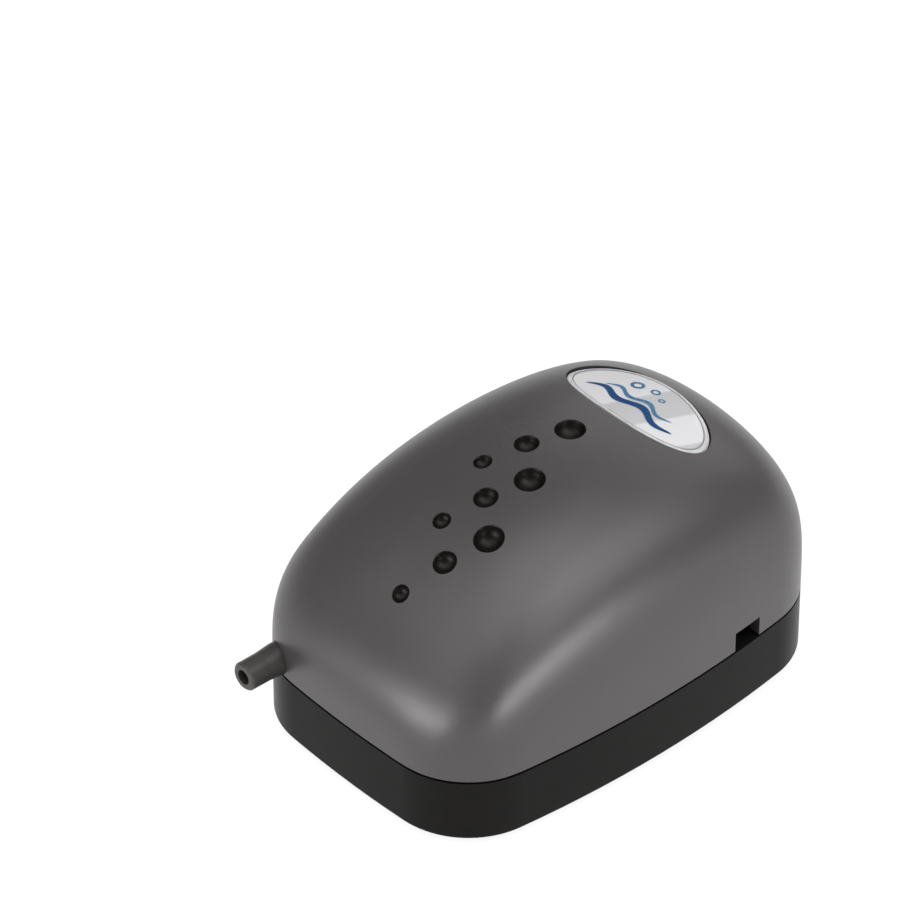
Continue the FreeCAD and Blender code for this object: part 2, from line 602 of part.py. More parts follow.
def filter_cover():
    """Slotted plate let into the underside, over the felt."""
    plate = box("filter_plate_blank",
                ("filter_x - filter_half_x", "pump_y - filter_half_y", "filter_recess - filter_plate"),
                ("2 * filter_half_x", "2 * filter_half_y", "filter_plate"))
    slots = [box("filter_slot_%d" % (number + 4),
                 ("compartment_near + filter_slot_margin",
                  "pump_y + %d * filter_slot_pitch - filter_slot / 2" % number, "-overrun"),
                 ("compartment_far - compartment_near - 2 * filter_slot_margin", "filter_slot",
                  "filter_recess + 2 * overrun")) for number in range(-3, 4)]
    subpart("filter_cover", cut("filter_cover_finished", plate, *slots))


def filter_felt():
    pad = box("felt_pad", ("compartment_near + felt_play", "pump_y - compartment_half_y + felt_play",
                           "filter_recess"),
              ("compartment_far - compartment_near - 2 * felt_play",
               "2 * (compartment_half_y - felt_play)", "felt_top - filter_recess"))
    subpart("filter_felt", pad)


def stack_block(name, low, high):
    return box(name, ("-stack_half_x", "pump_y - stack_half_y", low),
               ("2 * stack_half_x", "2 * stack_half_y", "(%s) - (%s)" % (high, low)))


def stack_holes(name, radius):
    return [rod("%s_hole_%d_%d" % (name, across, along),
                ("%d * stack_screw_x" % across, "pump_y + %d * stack_screw_y" % along, "stack_screw_end"),
                radius, "through") for across in (-1, 1) for along in (-1, 1)]


def compartment(name, side, low, high):
    near = "compartment_near" if side > 0 else "-compartment_far"
    return box(name, (near, "pump_y - compartment_half_y", low),
               ("compartment_far - compartment_near", "2 * compartment_half_y",
                "(%s) - (%s)" % (high, low)))


def valve_box():
    """Lower pump casting: an inlet side open to the filter and an outlet side with a spigot."""
    block = stack_block("valve_box_block", "base_floor", "valve_box_top")
    spigot = rod("valve_box_spigot", ("-stack_half_x - side_port_length", "side_port_y", "side_port_z"),
                 "spigot_radius", "side_port_length + overrun", ALONG_X)
    bore = rod("valve_box_bore",
               ("-stack_half_x - side_port_length - overrun", "side_port_y", "side_port_z"), "side_port_bore",
               "stack_half_x - compartment_far + side_port_length + 2 * overrun", ALONG_X)
    subpart("valve_box", cut("valve_box_finished", join("valve_box_body", block, spigot),
                             compartment("inlet_side", 1, "0", "valve_box_top + overrun"),
                             compartment("outlet_side", -1, "compartment_floor",
                                         "valve_box_top + overrun"),
                             bore, *stack_holes("valve_box", "stack_screw_radius")))


def valve_gasket():
    block = stack_block("gasket_block", "valve_box_top", "gasket_top")
    subpart("valve_gasket", cut("gasket_finished", block,
                                compartment("gasket_inlet", 1, "valve_box_top - overrun",
                                            "gasket_top + overrun"),
                                compartment("gasket_outlet", -1, "valve_box_top - overrun",
                                            "gasket_top + overrun"),
                                *stack_holes("gasket", "stack_screw_radius + screw_play")))


def valve_plate():
    """Plate between the two valves, with three ports for each."""
    block = stack_block("plate_block", "gasket_top", "plate_top")
    ports = [rod("port_%d_%d" % (side + 2, number + 2),
                 ("%d * port_x" % side, "pump_y + %d * port_spread" % number, "gasket_top - overrun"),
                 "port_radius", "through") for side in (-1, 1) for number in (-1, 0, 1)]
    subpart("valve_plate", cut("valve_plate_finished", block,
                               *(ports + stack_holes("plate", "stack_screw_radius + screw_play"))))


def pump_chamber():
    block = stack_block("chamber_block", "plate_top", "chamber_top")
    bore = rod("chamber_bore", ("0", "pump_y", "plate_top - overrun"), "chamber_radius", "through")
    subpart("pump_chamber", cut("chamber_finished", block, bore,
                                *stack_holes("chamber", "stack_screw_radius + screw_play")))


def valve_flaps():
    """Two rubber flaps: one opens up into the chamber, one down into the outlet side."""
    size = ("flap_length", "flap_width", "flap_thickness")
    front = "pump_y - flap_width / 2"
    inlet_low = "plate_top + flap_gap"
    outlet_low = "gasket_top - flap_gap - flap_thickness"
    inlet = box("inlet_flap_leaf", ("flap_near", front, inlet_low), size)
    outlet = box("outlet_flap_leaf", ("-flap_near - flap_length", front, outlet_low), size)
    inlet_bead = rod("inlet_flap_bead", ("flap_near", front, inlet_low + " + flap_thickness / 2"),
                     "flap_thickness / 2", "flap_width", ALONG_Y)
    outlet_bead = rod("outlet_flap_bead", ("-flap_near", front, outlet_low + " + flap_thickness / 2"),
                      "flap_thickness / 2", "flap_width", ALONG_Y)
    subpart("inlet_flap", join("inlet_flap_body", inlet, inlet_bead))
    subpart("outlet_flap", join("outlet_flap_body", outlet, outlet_bead))


def diaphragm():
    """Rubber cup: clamped rim, sloping wall and a flat top that the arm pulls up and down."""
    inner_top = val("cup_top") - val("cup_crown")
    profile = doc.addObject("Sketcher::SketchObject", "cup_profile")
    corners = [
        (0.0, inner_top),
        (val("cup_top_radius") - val("cup_wall") + val("cup_corner_top"), inner_top),
        (val("cup_foot_radius") - val("cup_wall") + val("cup_corner_foot"), val("chamber_top")),
        (val("rim_radius"), val("chamber_top")),
        (val("rim_radius"), val("rim_top")),
        (val("cup_foot_radius"), val("rim_top")),
        (val("cup_top_radius"), val("cup_top")),
        (0.0, val("cup_top")),
    ]
    spots = [FreeCAD.Vector(across, up, 0) for across, up in corners]
    for first, last in zip(spots, spots[1:] + spots[:1]):
        profile.addGeometry(Part.LineSegment(first, last), False)
    profile.Placement = FreeCAD.Placement(FreeCAD.Vector(0, val("pump_y"), 0),
                                          FreeCAD.Rotation(FreeCAD.Vector(1, 0, 0), 90))
    cup = doc.addObject("Part::Revolution", "cup_turned")
    cup.Source = profile
    cup.Axis = FreeCAD.Vector(0, 0, 1)
    cup.Base = FreeCAD.Vector(0, val("pump_y"), 0)
    cup.Angle = 360
    cup.Solid = True
    hole = rod("cup_hole", ("0", "pump_y", "cup_top - cup_crown - overrun"), "arm_screw_radius", "through")
    subpart("diaphragm", cut("cup_finished", cup, hole))


def diaphragm_clamp():
    block = stack_block("clamp_block", "rim_top", "clamp_top")
    bore = rod("clamp_bore", ("0", "pump_y", "rim_top - overrun"), "clamp_opening", "through")
    step = stack_block("rim_spacer_block", "chamber_top", "rim_top")
    room = rod("rim_room", ("0", "pump_y", "chamber_top - overrun"), "rim_radius + rim_play", "through")
    body = join("clamp_body", cut("clamp_plate", block, bore), cut("rim_spacer", step, room))
    subpart("diaphragm_clamp", cut("diaphragm_clamp_finished", body,
                                   *stack_holes("clamp", "stack_screw_radius + screw_play")))


def chamber_screws():
    screws = [cross_screw("chamber_screw_%d_%d" % (across + 2, along + 2), "%d * stack_screw_x" % across,
                          "pump_y + %d * stack_screw_y" % along, "clamp_top", "stack_screw_radius",
                          "stack_screw_end", "small_head_radius", "small_head_height")
              for across in (-1, 1) for along in (-1, 1)]
    subpart("chamber_screws", *screws)


def arm_fixings():
    """Screw, nut and two washers that hold the cup to the arm."""
    nut_low = "cup_top - cup_crown - inner_washer - nut_height"
    low = nut_low + " - screw_past_nut"
    arm_top = "arm_level + arm_thickness / 2"
    screw = cross_screw("cup_screw", "0", "pump_y", arm_top, "arm_screw_radius", low,
                        "arm_head_radius", "arm_head_height")
    subpart("diaphragm_screw", screw)
    prism = doc.addObject("Part::Prism", "nut_blank")
    prism.Polygon = 6
    bind(prism, Circumradius="nut_radius", Height="nut_height")
    place(prism, ("0", "pump_y", nut_low))
    thread = rod("nut_thread", ("0", "pump_y", low), "arm_screw_radius", "through")
    subpart("diaphragm_nut", cut("nut_finished", prism, thread))
    upper = rod("upper_washer_disc", ("0", "pump_y", "cup_top"), "washer_radius",
                "arm_level - arm_thickness / 2 - cup_top")
    lower = rod("lower_washer_disc", ("0", "pump_y", "cup_top - cup_crown - inner_washer"),
                "inner_washer_radius", "inner_washer")
    upper_hole = rod("upper_washer_hole", ("0", "pump_y", low), "arm_screw_radius", "through")
    lower_hole = rod("lower_washer_hole", ("0", "pump_y", low), "arm_screw_radius", "through")
    subpart("diaphragm_washers", cut("upper_washer", upper, upper_hole),
            cut("lower_washer", lower, lower_hole))


def vibrating_arm():
    """Flat lever with an eye for the hinge pin at its front end."""
    bar = box("arm_bar", ("-arm_width / 2", "pivot_y", "arm_level - arm_thickness / 2"),
              ("arm_width", "arm_end_y - pivot_y", "arm_thickness"))
    eye = rod("arm_eye", ("-arm_width / 2", "pivot_y", "arm_level"), "eye_radius", "arm_width", ALONG_X)
    bore = rod("arm_eye_bore", ("-arm_width", "pivot_y", "arm_level"), "pin_radius + pin_running_gap",
               "2 * arm_width", ALONG_X)
    hole = rod("arm_screw_hole", ("0", "pump_y", "arm_level - arm_thickness"), "arm_screw_radius",
               "through")
    subpart("vibrating_arm", cut("arm_finished", join("arm_body", bar, eye), bore, hole))


def magnets():
    """Steel backing plate across the end of the arm, with a magnet over each core window."""
    plate = box("magnet_yoke_plate", ("-yoke_half_x", "arm_end_y", "arm_level - yoke_half_z"),
                ("2 * yoke_half_x", "yoke_plate", "2 * yoke_half_z"))
    subpart("magnet_yoke", plate)
    blocks = [box("magnet_%d" % (side + 2),
                  ("-magnet_half_x", "arm_end_y + yoke_plate",
                   "arm_level + %d * magnet_offset - magnet_height / 2" % side),
                  ("2 * magnet_half_x", "magnet_thickness", "magnet_height")) for side in (-1, 1)]
    subpart("arm_magnets", *blocks)


def hinge():
    """Pin, its U-shaped bracket and the bracket's two screws."""
    pin = rod("hinge_pin", ("-pin_half_length", "pivot_y", "arm_level"), "pin_radius",
              "2 * pin_half_length", ALONG_X)
    subpart("pivot_pin", pin)
    plate = box("bracket_base_plate", ("-bracket_half_x", "pivot_y - bracket_half_y", "bracket_plate_z"),
                ("2 * bracket_half_x", "2 * bracket_half_y", "bracket_plate"))
    cheeks = [box("bracket_cheek_%d" % (side + 2),
                  ("%d * (bracket_inner_x + bracket_cheek / 2) - bracket_cheek / 2" % side,
                   "pivot_y - bracket_depth / 2", "bracket_plate_z"),
                  ("bracket_cheek", "bracket_depth", "arm_level + bracket_above_pin - bracket_plate_z"))
              for side in (-1, 1)]
    bore = rod("bracket_pin_bore", ("-through", "pivot_y", "arm_level"), "pin_radius", "2 * through",
               ALONG_X)
    holes = [rod("bracket_screw_hole_%d" % (side + 2),
                 ("%d * bracket_screw_x" % side, "pivot_y", "overrun"),
                 "stack_screw_radius + screw_play", "bracket_plate_z + bracket_plate")
             for side in (-1, 1)]
    subpart("pivot_bracket", cut("bracket_finished", join("bracket_body", plate, *cheeks), bore, *holes))
    screws = [cross_screw("bracket_screw_%d" % (side + 2), "%d * bracket_screw_x" % side, "pivot_y",
                          "bracket_plate_z + bracket_plate", "stack_screw_radius", "bracket_screw_end",
                          "small_head_radius", "small_head_height") for side in (-1, 1)]
    subpart("bracket_screws", *screws)


def core_laminations():
    """E-shaped stack: a yoke at the rear and three legs facing the magnets."""
    block = box("core_block", ("-core_half_x", "core_front_y", "core_bottom"),
                ("2 * core_half_x", "core_rear_y - core_front_y", "core_height"))
    lows = {"low": "core_bottom + outer_leg", "high": "core_bottom + core_height - outer_leg - window"}
    windows = [box("core_window_" + name, ("-through", "core_front_y - overrun", low),
                   ("2 * through", "core_rear_y - core_yoke - core_front_y + overrun", "window"))
               for name, low in lows.items()]
    subpart("core_laminations", cut("core_finished", block, *windows))


def sleeve(name, half_x, half_z, front, rear):
    """Block along Y about the core's middle leg."""
    return box(name, ("-(%s)" % half_x, front, "arm_level - (%s)" % half_z),
               ("2 * (%s)" % half_x, "%s - (%s)" % (rear, front), "2 * (%s)" % half_z))


def round_long_edges(name, plain):
    """Round the four edges of a block that run along Y."""
    doc.recompute()
    obj = doc.addObject("Part::Fillet", name)
    obj.Base = plain
    longest = plain.Shape.BoundBox.YLength
    size = val("winding_round")
    obj.Edges = [(number, size, size) for number, edge in enumerate(plain.Shape.Edges, start=1)
                 if abs(edge.BoundBox.YLength - longest) < 0.01]
    return obj


def coil():
    """Bobbin on the middle leg, its winding and the tape round it."""
    leg_x = "core_half_x + bobbin_clearance"
    leg_z = "core_height / 2 - outer_leg - window + bobbin_clearance"
    tube_x = leg_x + " + bobbin_wall"
    tube_z = leg_z + " + bobbin_wall"
    front = "bobbin_front + bobbin_flange"
    rear = "bobbin_rear - bobbin_flange"
    tube = sleeve("bobbin_tube", tube_x, tube_z, "bobbin_front", "bobbin_rear")
    flanges = [sleeve("bobbin_front_flange", "bobbin_half_x", "bobbin_half_z", "bobbin_front", front),
               sleeve("bobbin_rear_flange", "bobbin_half_x", "bobbin_half_z", rear, "bobbin_rear")]
    way = sleeve("bobbin_way", leg_x, leg_z, "0", "2 * through")
    subpart("coil_bobbin", cut("bobbin_finished", join("bobbin_body", tube, *flanges), way))
    wound = round_long_edges("winding_round_block",
                             sleeve("winding_block", "winding_half_x", "winding_half_z", front, rear))
    inner = sleeve("winding_way", tube_x, tube_z, "0", "2 * through")
    subpart("coil_winding", cut("winding_finished", wound, inner))
    tape_front = front + " + tape_margin"
    tape_rear = rear + " - tape_margin"
    outside = round_long_edges("tape_round_block",
                               sleeve("tape_block", "winding_half_x + tape_thickness",
                                      "winding_half_z + tape_thickness", tape_front, tape_rear))
    inside = round_long_edges("tape_inner_block",
                              sleeve("tape_way", "winding_half_x", "winding_half_z", "0", "2 * through"))
    subpart("winding_tape", cut("tape_finished", outside, inside))


def core_strap():
    """U-shaped strap over the core's yoke, with a foot on each side."""
    outer_x = "core_half_x + strap_thickness"
    block = box("strap_block", ("-(%s)" % outer_x, "strap_y - strap_width / 2", "core_bottom"),
                ("2 * (%s)" % outer_x, "strap_width", "core_height + strap_thickness"))
    inner = box("strap_inner", ("-core_half_x", "strap_y - strap_width", "core_bottom - overrun"),
                ("2 * core_half_x", "2 * strap_width", "core_height + overrun"))
    feet = [box("strap_foot_%d" % (side + 2),
                ("%d * (core_half_x + strap_foot / 2) - strap_foot / 2" % side,
                 "strap_y - strap_width / 2", "core_bottom"),
                ("strap_foot", "strap_width", "strap_thickness")) for side in (-1, 1)]
    holes = [rod("strap_hole_%d" % (side + 2),
                 ("%d * strap_screw_x" % side, "strap_y", "core_bottom - overrun"),
                 "stack_screw_radius + screw_play", "through") for side in (-1, 1)]
    body = join("strap_body", cut("strap_hoop", block, inner),
                cut("strap_feet", join("strap_feet_pair", *feet), *holes))
    subpart("core_strap", body)
    screws = [cross_screw("strap_screw_%d" % (side + 2), "%d * strap_screw_x" % side, "strap_y",
                          "core_bottom + strap_thickness", "stack_screw_radius", "strap_screw_end",
                          "small_head_radius", "small_head_height") for side in (-1, 1)]
    subpart("strap_screws", *screws)


def thermal_cutout():
    mid = "(bobbin_front + bobbin_rear) / 2"
    subpart("thermal_cutout", rod("cutout_barrel",
                                  ("winding_half_x + tape_thickness + cutout_radius",
                                   mid + " - cutout_length / 2", "arm_level"),
                                  "cutout_radius", "cutout_length", ALONG_Y))


def smooth_path(points, first_way, last_way):
    """Edge through the points, parametrised by chord length, with given end directions."""
    marks = [0.0]
    for first, last in zip(points, points[1:]):
        marks.append(marks[-1] + first.distanceToPoint(last))
    curve = Part.BSplineCurve()
    curve.interpolate(Points=points, Parameters=marks, InitialTangent=first_way.normalize(),
                      FinalTangent=last_way.normalize(), Scale=False)
    return curve.toShape()


def swept(name, points, first_way, last_way, radius):
    """Round bar along a smooth path through the points."""
    spine = Part.Wire(smooth_path(points, first_way, last_way))
    ring = Part.Wire(Part.Circle(points[0], first_way, radius).toShape())
    return solid(name, spine.makePipeShell([ring], True, True))


def coil_leads():
    """Two insulated leads from the bobbin's rear flange to the cord clamp."""
    start_x = val("bobbin_half_x") + val("lead_radius") + val("lead_gap")
    start_y = val("bobbin_rear") - val("bobbin_flange") / 2
    cord_y = val("inlet_y") + val("inlet_width") / 2
    cord_z = val("seam_level") + val("inlet_height") / 2
    leads = []
    for number, side in enumerate((-1, 1), start=1):
        start = FreeCAD.Vector(start_x, start_y, val("arm_level") + val("lead_spread") * side)
        middle = FreeCAD.Vector(start_x + val("lead_bend_out"), start_y - val("lead_bend_back"),
                                cord_z + val("lead_bend_drop") * (1 + side))
        last = FreeCAD.Vector(val("clamp_x"), cord_y - val("cord_core_spread") * side, cord_z)
        leads.append(swept("coil_lead_%d" % number, [start, middle, last],
                           FreeCAD.Vector(0.3, 0, -1), FreeCAD.Vector(1, -0.2, 0), val("lead_radius")))
    subpart("coil_leads", *leads)


def cord_clamp():
    """Bridge that grips the cord above two posts of the base."""
    mid_y = "inlet_y + inlet_width / 2"
    low = "seam_level"
    bar = box("clamp_bar_block", ("clamp_x - clamp_half_x", mid_y + " - clamp_half_y", low),
              ("2 * clamp_half_x", "2 * clamp_half_y", "inlet_height + clamp_bar"))
    gap = box("clamp_bar_gap", ("clamp_x - through / 2", "inlet_y", low + " - overrun"),
              ("through", "inlet_width", "inlet_height + overrun"))
    holes = [rod("clamp_bar_hole_%d" % (side + 2), ("clamp_x", clamp_screw_place(side), low),
                 "stack_screw_radius + screw_play / 2", "through") for side in (-1, 1)]
    subpart("cord_clamp", cut("clamp_finished", bar, gap, *holes))
    screws = [cross_screw("clamp_screw_%d" % (side + 2), "clamp_x",
                          clamp_screw_place(side), low + " + inlet_height + clamp_bar",
                          "stack_screw_radius", "clamp_screw_end", "small_head_radius",
                          "small_head_height") for side in (-1, 1)]
    subpart("clamp_screws", *screws)


def outlet_tube():
    """Soft tube from the valve box's spigot to the nozzle's inner spigot."""
    box_side = -val("stack_half_x")
    port_y, port_z = val("side_port_y"), val("side_port_z")
    nozzle_x, nozzle_z = val("nozzle_x"), val("nozzle_z")
    collar = val("collar_y") + val("collar_thickness")
    gap, straight = val("tube_end_gap"), val("tube_straight")
    bend_x = val("tube_bend_x")
    points = [FreeCAD.Vector(box_side - gap, port_y, port_z),
              FreeCAD.Vector(box_side - straight, port_y, port_z),
              FreeCAD.Vector(bend_x, port_y - val("tube_first_back"), port_z + val("tube_first_rise")),
              FreeCAD.Vector(bend_x + val("tube_bend_out"), port_y - val("tube_next_back"),
                             nozzle_z - val("tube_next_drop")),
              FreeCAD.Vector(nozzle_x, collar + straight, nozzle_z),
              FreeCAD.Vector(nozzle_x, collar + gap, nozzle_z)]
    first_way = FreeCAD.Vector(-1, 0, 0)
    last_way = FreeCAD.Vector(0, -1, 0)

    def bar(name, radius):
        edges = [Part.LineSegment(points[0], points[1]).toShape(),
                 smooth_path(points[1:-1], first_way, last_way),
                 Part.LineSegment(points[-2], points[-1]).toShape()]
        ring = Part.Wire(Part.Circle(points[0], first_way, radius).toShape())
        return solid(name, Part.Wire(edges).makePipeShell([ring], True, True))

    outside = bar("tube_outside", val("spigot_radius") + val("tube_wall"))
    inside = bar("tube_inside", val("spigot_radius") + val("tube_bore_play"))
    subpart("outlet_tube", cut("tube_finished", outside, inside))


upper_cover()
lower_base()
outlet_nozzle()
badge_plate()
rubber_feet()
case_screws()
filter_cover()
filter_felt()
valve_box()
valve_gasket()
valve_plate()
pump_chamber()
valve_flaps()
diaphragm()
diaphragm_clamp()
chamber_screws()
arm_fixings()
vibrating_arm()
magnets()
hinge()
core_laminations()
coil()
core_strap()
thermal_cutout()
coil_leads()
cord_clamp()
outlet_tube()
doc.recompute()

for obj in doc.Objects:
    if "Invalid" in obj.State or "Error" in obj.State:
        raise RuntimeError("%s is %s" % (obj.Name, obj.State))

os.makedirs("parts", exist_ok=True)
for obj in SUBPARTS:
    if obj.Shape.isNull() or not obj.Shape.isValid():
        raise RuntimeError(obj.Label + " has no valid shape")
    bounds = obj.Shape.BoundBox
    print("%-20s solids %d volume %.1f  x %.2f %.2f  y %.2f %.2f  z %.2f %.2f" % (
        obj.Label, len(obj.Shape.Solids), obj.Shape.Volume, bounds.XMin, bounds.XMax,
        bounds.YMin, bounds.YMax, bounds.ZMin, bounds.ZMax))
    obj.Shape.exportStep("parts/%s.step" % obj.Label)
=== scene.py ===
import math

import bmesh
import bpy
from mathutils import Matrix, Vector
from mathutils.bvhtree import BVHTree


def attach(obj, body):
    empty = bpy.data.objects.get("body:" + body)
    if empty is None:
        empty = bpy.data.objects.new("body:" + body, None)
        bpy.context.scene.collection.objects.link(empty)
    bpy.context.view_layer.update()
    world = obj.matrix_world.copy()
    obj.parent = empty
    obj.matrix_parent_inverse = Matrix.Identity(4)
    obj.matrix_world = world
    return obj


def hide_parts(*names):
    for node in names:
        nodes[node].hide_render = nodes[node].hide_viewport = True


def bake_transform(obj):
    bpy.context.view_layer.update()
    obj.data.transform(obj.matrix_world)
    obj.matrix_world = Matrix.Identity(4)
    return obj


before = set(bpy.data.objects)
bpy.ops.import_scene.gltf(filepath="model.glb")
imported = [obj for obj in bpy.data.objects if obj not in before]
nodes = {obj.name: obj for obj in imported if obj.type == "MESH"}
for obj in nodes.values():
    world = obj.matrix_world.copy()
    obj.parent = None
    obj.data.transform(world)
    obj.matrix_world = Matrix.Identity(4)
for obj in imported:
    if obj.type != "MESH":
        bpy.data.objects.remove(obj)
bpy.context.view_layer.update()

MM = 0.001
scene = bpy.context.scene


# ---------------------------------------------------------------- material helpers


def new_material(name):
    """A material with its Principled shader and a coordinate node in metres."""
    material = bpy.data.materials.new(name)
    material.use_nodes = True
    tree = material.node_tree
    shader = tree.nodes["Principled BSDF"]
    coords = tree.nodes.new("ShaderNodeTexCoord")
    return material, tree, shader, coords.outputs["Object"]


def noise(tree, coords, scale, detail=4.0, roughness=0.55):
    node = tree.nodes.new("ShaderNodeTexNoise")
    node.inputs["Scale"].default_value = scale
    node.inputs["Detail"].default_value = detail
    node.inputs["Roughness"].default_value = roughness
    tree.links.new(coords, node.inputs["Vector"])
    return node.outputs["Fac"]


def spread(tree, value, low, high):
    """Maps 0.3..0.7 of a noise to low..high."""
    node = tree.nodes.new("ShaderNodeMapRange")
    node.inputs["From Min"].default_value = 0.3
    node.inputs["From Max"].default_value = 0.7
    node.inputs["To Min"].default_value = low
    node.inputs["To Max"].default_value = high
    tree.links.new(value, node.inputs["Value"])
    return node.outputs["Result"]


def blend_colours(tree, value, first, second):
    node = tree.nodes.new("ShaderNodeMix")
    node.data_type = "RGBA"
    node.inputs["A"].default_value = (*first, 1)
    node.inputs["B"].default_value = (*second, 1)
    tree.links.new(value, node.inputs["Factor"])
    return node.outputs["Result"]


def bump(tree, shader, value, depth, strength=1.0):
    node = tree.nodes.new("ShaderNodeBump")
    node.inputs["Distance"].default_value = depth
    node.inputs["Strength"].default_value = strength
    tree.links.new(value, node.inputs["Height"])
    tree.links.new(node.outputs["Normal"], shader.inputs["Normal"])


def shade(colour, factor):
    return tuple(min(1.0, channel * factor) for channel in colour)


def surface(name, colour, roughness, mottle=0.06, mottle_scale=180.0, grain=2600.0,
            grain_depth=4e-6, metallic=0.0, specular=0.5, coat=0.0, gloss_spread=0.04):
    """A moulded, cast or drawn surface: slightly uneven colour and gloss over a fine grain."""
    material, tree, shader, coords = new_material(name)
    patches = spread(tree, noise(tree, coords, mottle_scale), 0.0, 1.0)
    colours = blend_colours(tree, patches, shade(colour, 1 - mottle), shade(colour, 1 + mottle))
    tree.links.new(colours, shader.inputs["Base Color"])
    gloss = spread(tree, noise(tree, coords, mottle_scale * 3), roughness - gloss_spread,
                   roughness + gloss_spread)
    tree.links.new(gloss, shader.inputs["Roughness"])
    shader.inputs["Metallic"].default_value = metallic
    shader.inputs["Specular IOR Level"].default_value = specular
    shader.inputs["Coat Weight"].default_value = coat
    bump(tree, shader, noise(tree, coords, grain, 2.0), grain_depth)
    return material


def assign(material, *names):
    for name in names:
        nodes[name].data.materials.clear()
        nodes[name].data.materials.append(material)


# ---------------------------------------------------------------- materials

COVER_GREY = (0.038, 0.034, 0.035)
BASE_BLACK = (0.006, 0.0055, 0.0052)

cover_plastic = surface("cover_plastic", COVER_GREY, 0.37, mottle=0.03, gloss_spread=0.015)
base_plastic = surface("base_plastic", BASE_BLACK, 0.36, mottle=0.08, grain=2400, grain_depth=5e-6,
                       specular=0.06, gloss_spread=0.02)
nozzle_plastic = surface("nozzle_plastic", (0.030, 0.028, 0.027), 0.40, specular=0.35)
foot_rubber = surface("foot_rubber", (0.02, 0.02, 0.02), 0.75, grain=900, grain_depth=2e-5)
pump_plastic = surface("pump_plastic", (0.05, 0.05, 0.055), 0.45)
screw_steel = surface("screw_steel", (0.62, 0.62, 0.63), 0.28, metallic=1.0, grain=4000)
valve_rubber = surface("valve_rubber", (0.03, 0.03, 0.03), 0.6, grain=1500, grain_depth=1e-5)
arm_plastic = surface("arm_plastic", (0.66, 0.65, 0.60), 0.45)
washer_plastic = surface("washer_plastic", (0.75, 0.75, 0.73), 0.35)
ferrite = surface("ferrite", (0.055, 0.055, 0.06), 0.6, grain=1400, grain_depth=1e-5)
bobbin_plastic = surface("bobbin_plastic", (0.78, 0.77, 0.70), 0.4)
strap_steel = surface("strap_steel", (0.70, 0.70, 0.69), 0.32, metallic=1.0)
ceramic = surface("cutout_body", (0.82, 0.80, 0.74), 0.4)
soft_tube = surface("soft_tube", (0.10, 0.10, 0.10), 0.5)
lead_red = surface("lead_insulation", (0.20, 0.02, 0.02), 0.4)
felt = surface("felt", (0.68, 0.67, 0.62), 0.95, grain=1200, grain_depth=1.5e-4, mottle=0.2)
tape = surface("tape", (0.80, 0.58, 0.06), 0.3, coat=0.3)


def banded(name, colour, roughness, axis_scale, depth, metallic=1.0):
    """Fine parallel bands: laminations or turns of wire, from a wave along one axis."""
    material, tree, shader, coords = new_material(name)
    mapping = tree.nodes.new("ShaderNodeMapping")
    mapping.inputs["Scale"].default_value = axis_scale
    tree.links.new(coords, mapping.inputs["Vector"])
    wave = tree.nodes.new("ShaderNodeTexWave")
    wave.inputs["Scale"].default_value = 1.0
    wave.inputs["Distortion"].default_value = 0.4
    tree.links.new(mapping.outputs["Vector"], wave.inputs["Vector"])
    colours = blend_colours(tree, wave.outputs["Fac"], shade(colour, 0.6), shade(colour, 1.15))
    tree.links.new(colours, shader.inputs["Base Color"])
    shader.inputs["Roughness"].default_value = roughness
    shader.inputs["Metallic"].default_value = metallic
    bump(tree, shader, wave.outputs["Fac"], depth)
    return material


core_steel = banded("core_steel", (0.36, 0.36, 0.38), 0.38, (320, 0, 0), 4e-5)
copper_wire = banded("copper_wire", (0.72, 0.28, 0.11), 0.3, (0, 900, 0), 8e-5)

assign(cover_plastic, "upper_cover")
assign(base_plastic, "lower_base", "filter_cover")
assign(nozzle_plastic, "outlet_nozzle")
assign(foot_rubber, "rubber_feet")
assign(pump_plastic, "valve_box", "valve_plate", "pump_chamber", "diaphragm_clamp",
       "pivot_bracket", "cord_clamp")
assign(screw_steel, "case_screws", "chamber_screws", "diaphragm_screw", "diaphragm_nut",
       "magnet_yoke", "pivot_pin", "bracket_screws", "strap_screws", "clamp_screws")
assign(valve_rubber, "valve_gasket", "inlet_flap", "outlet_flap", "diaphragm")
assign(arm_plastic, "vibrating_arm")
assign(washer_plastic, "diaphragm_washers")
assign(ferrite, "arm_magnets")
assign(bobbin_plastic, "coil_bobbin")
assign(strap_steel, "core_strap")
assign(ceramic, "thermal_cutout")
assign(soft_tube, "outlet_tube")
assign(lead_red, "coil_leads")
assign(felt, "filter_felt")
assign(tape, "winding_tape")
assign(core_steel, "core_laminations")
assign(copper_wire, "coil_winding")


# ---------------------------------------------------------------- badge

# painted reflection: the bright and the darker grey tones of the foil stand in for its sheen
FOIL_SHEEN_LIGHT, FOIL_SHEEN_DARK = 0.50, 0.37
FOIL_TURN = math.radians(8)
FOIL_REACH = 30 * MM
# places along the foil, as shares of its whole reach, where its painted sheen tone starts or ends
FOIL_STOPS = ((0.0, FOIL_SHEEN_LIGHT), (0.418, FOIL_SHEEN_LIGHT), (0.428, FOIL_SHEEN_DARK), (0.543, FOIL_SHEEN_DARK),
              (0.553, FOIL_SHEEN_LIGHT), (0.660, FOIL_SHEEN_LIGHT), (0.668, FOIL_SHEEN_DARK), (1.0, FOIL_SHEEN_DARK))


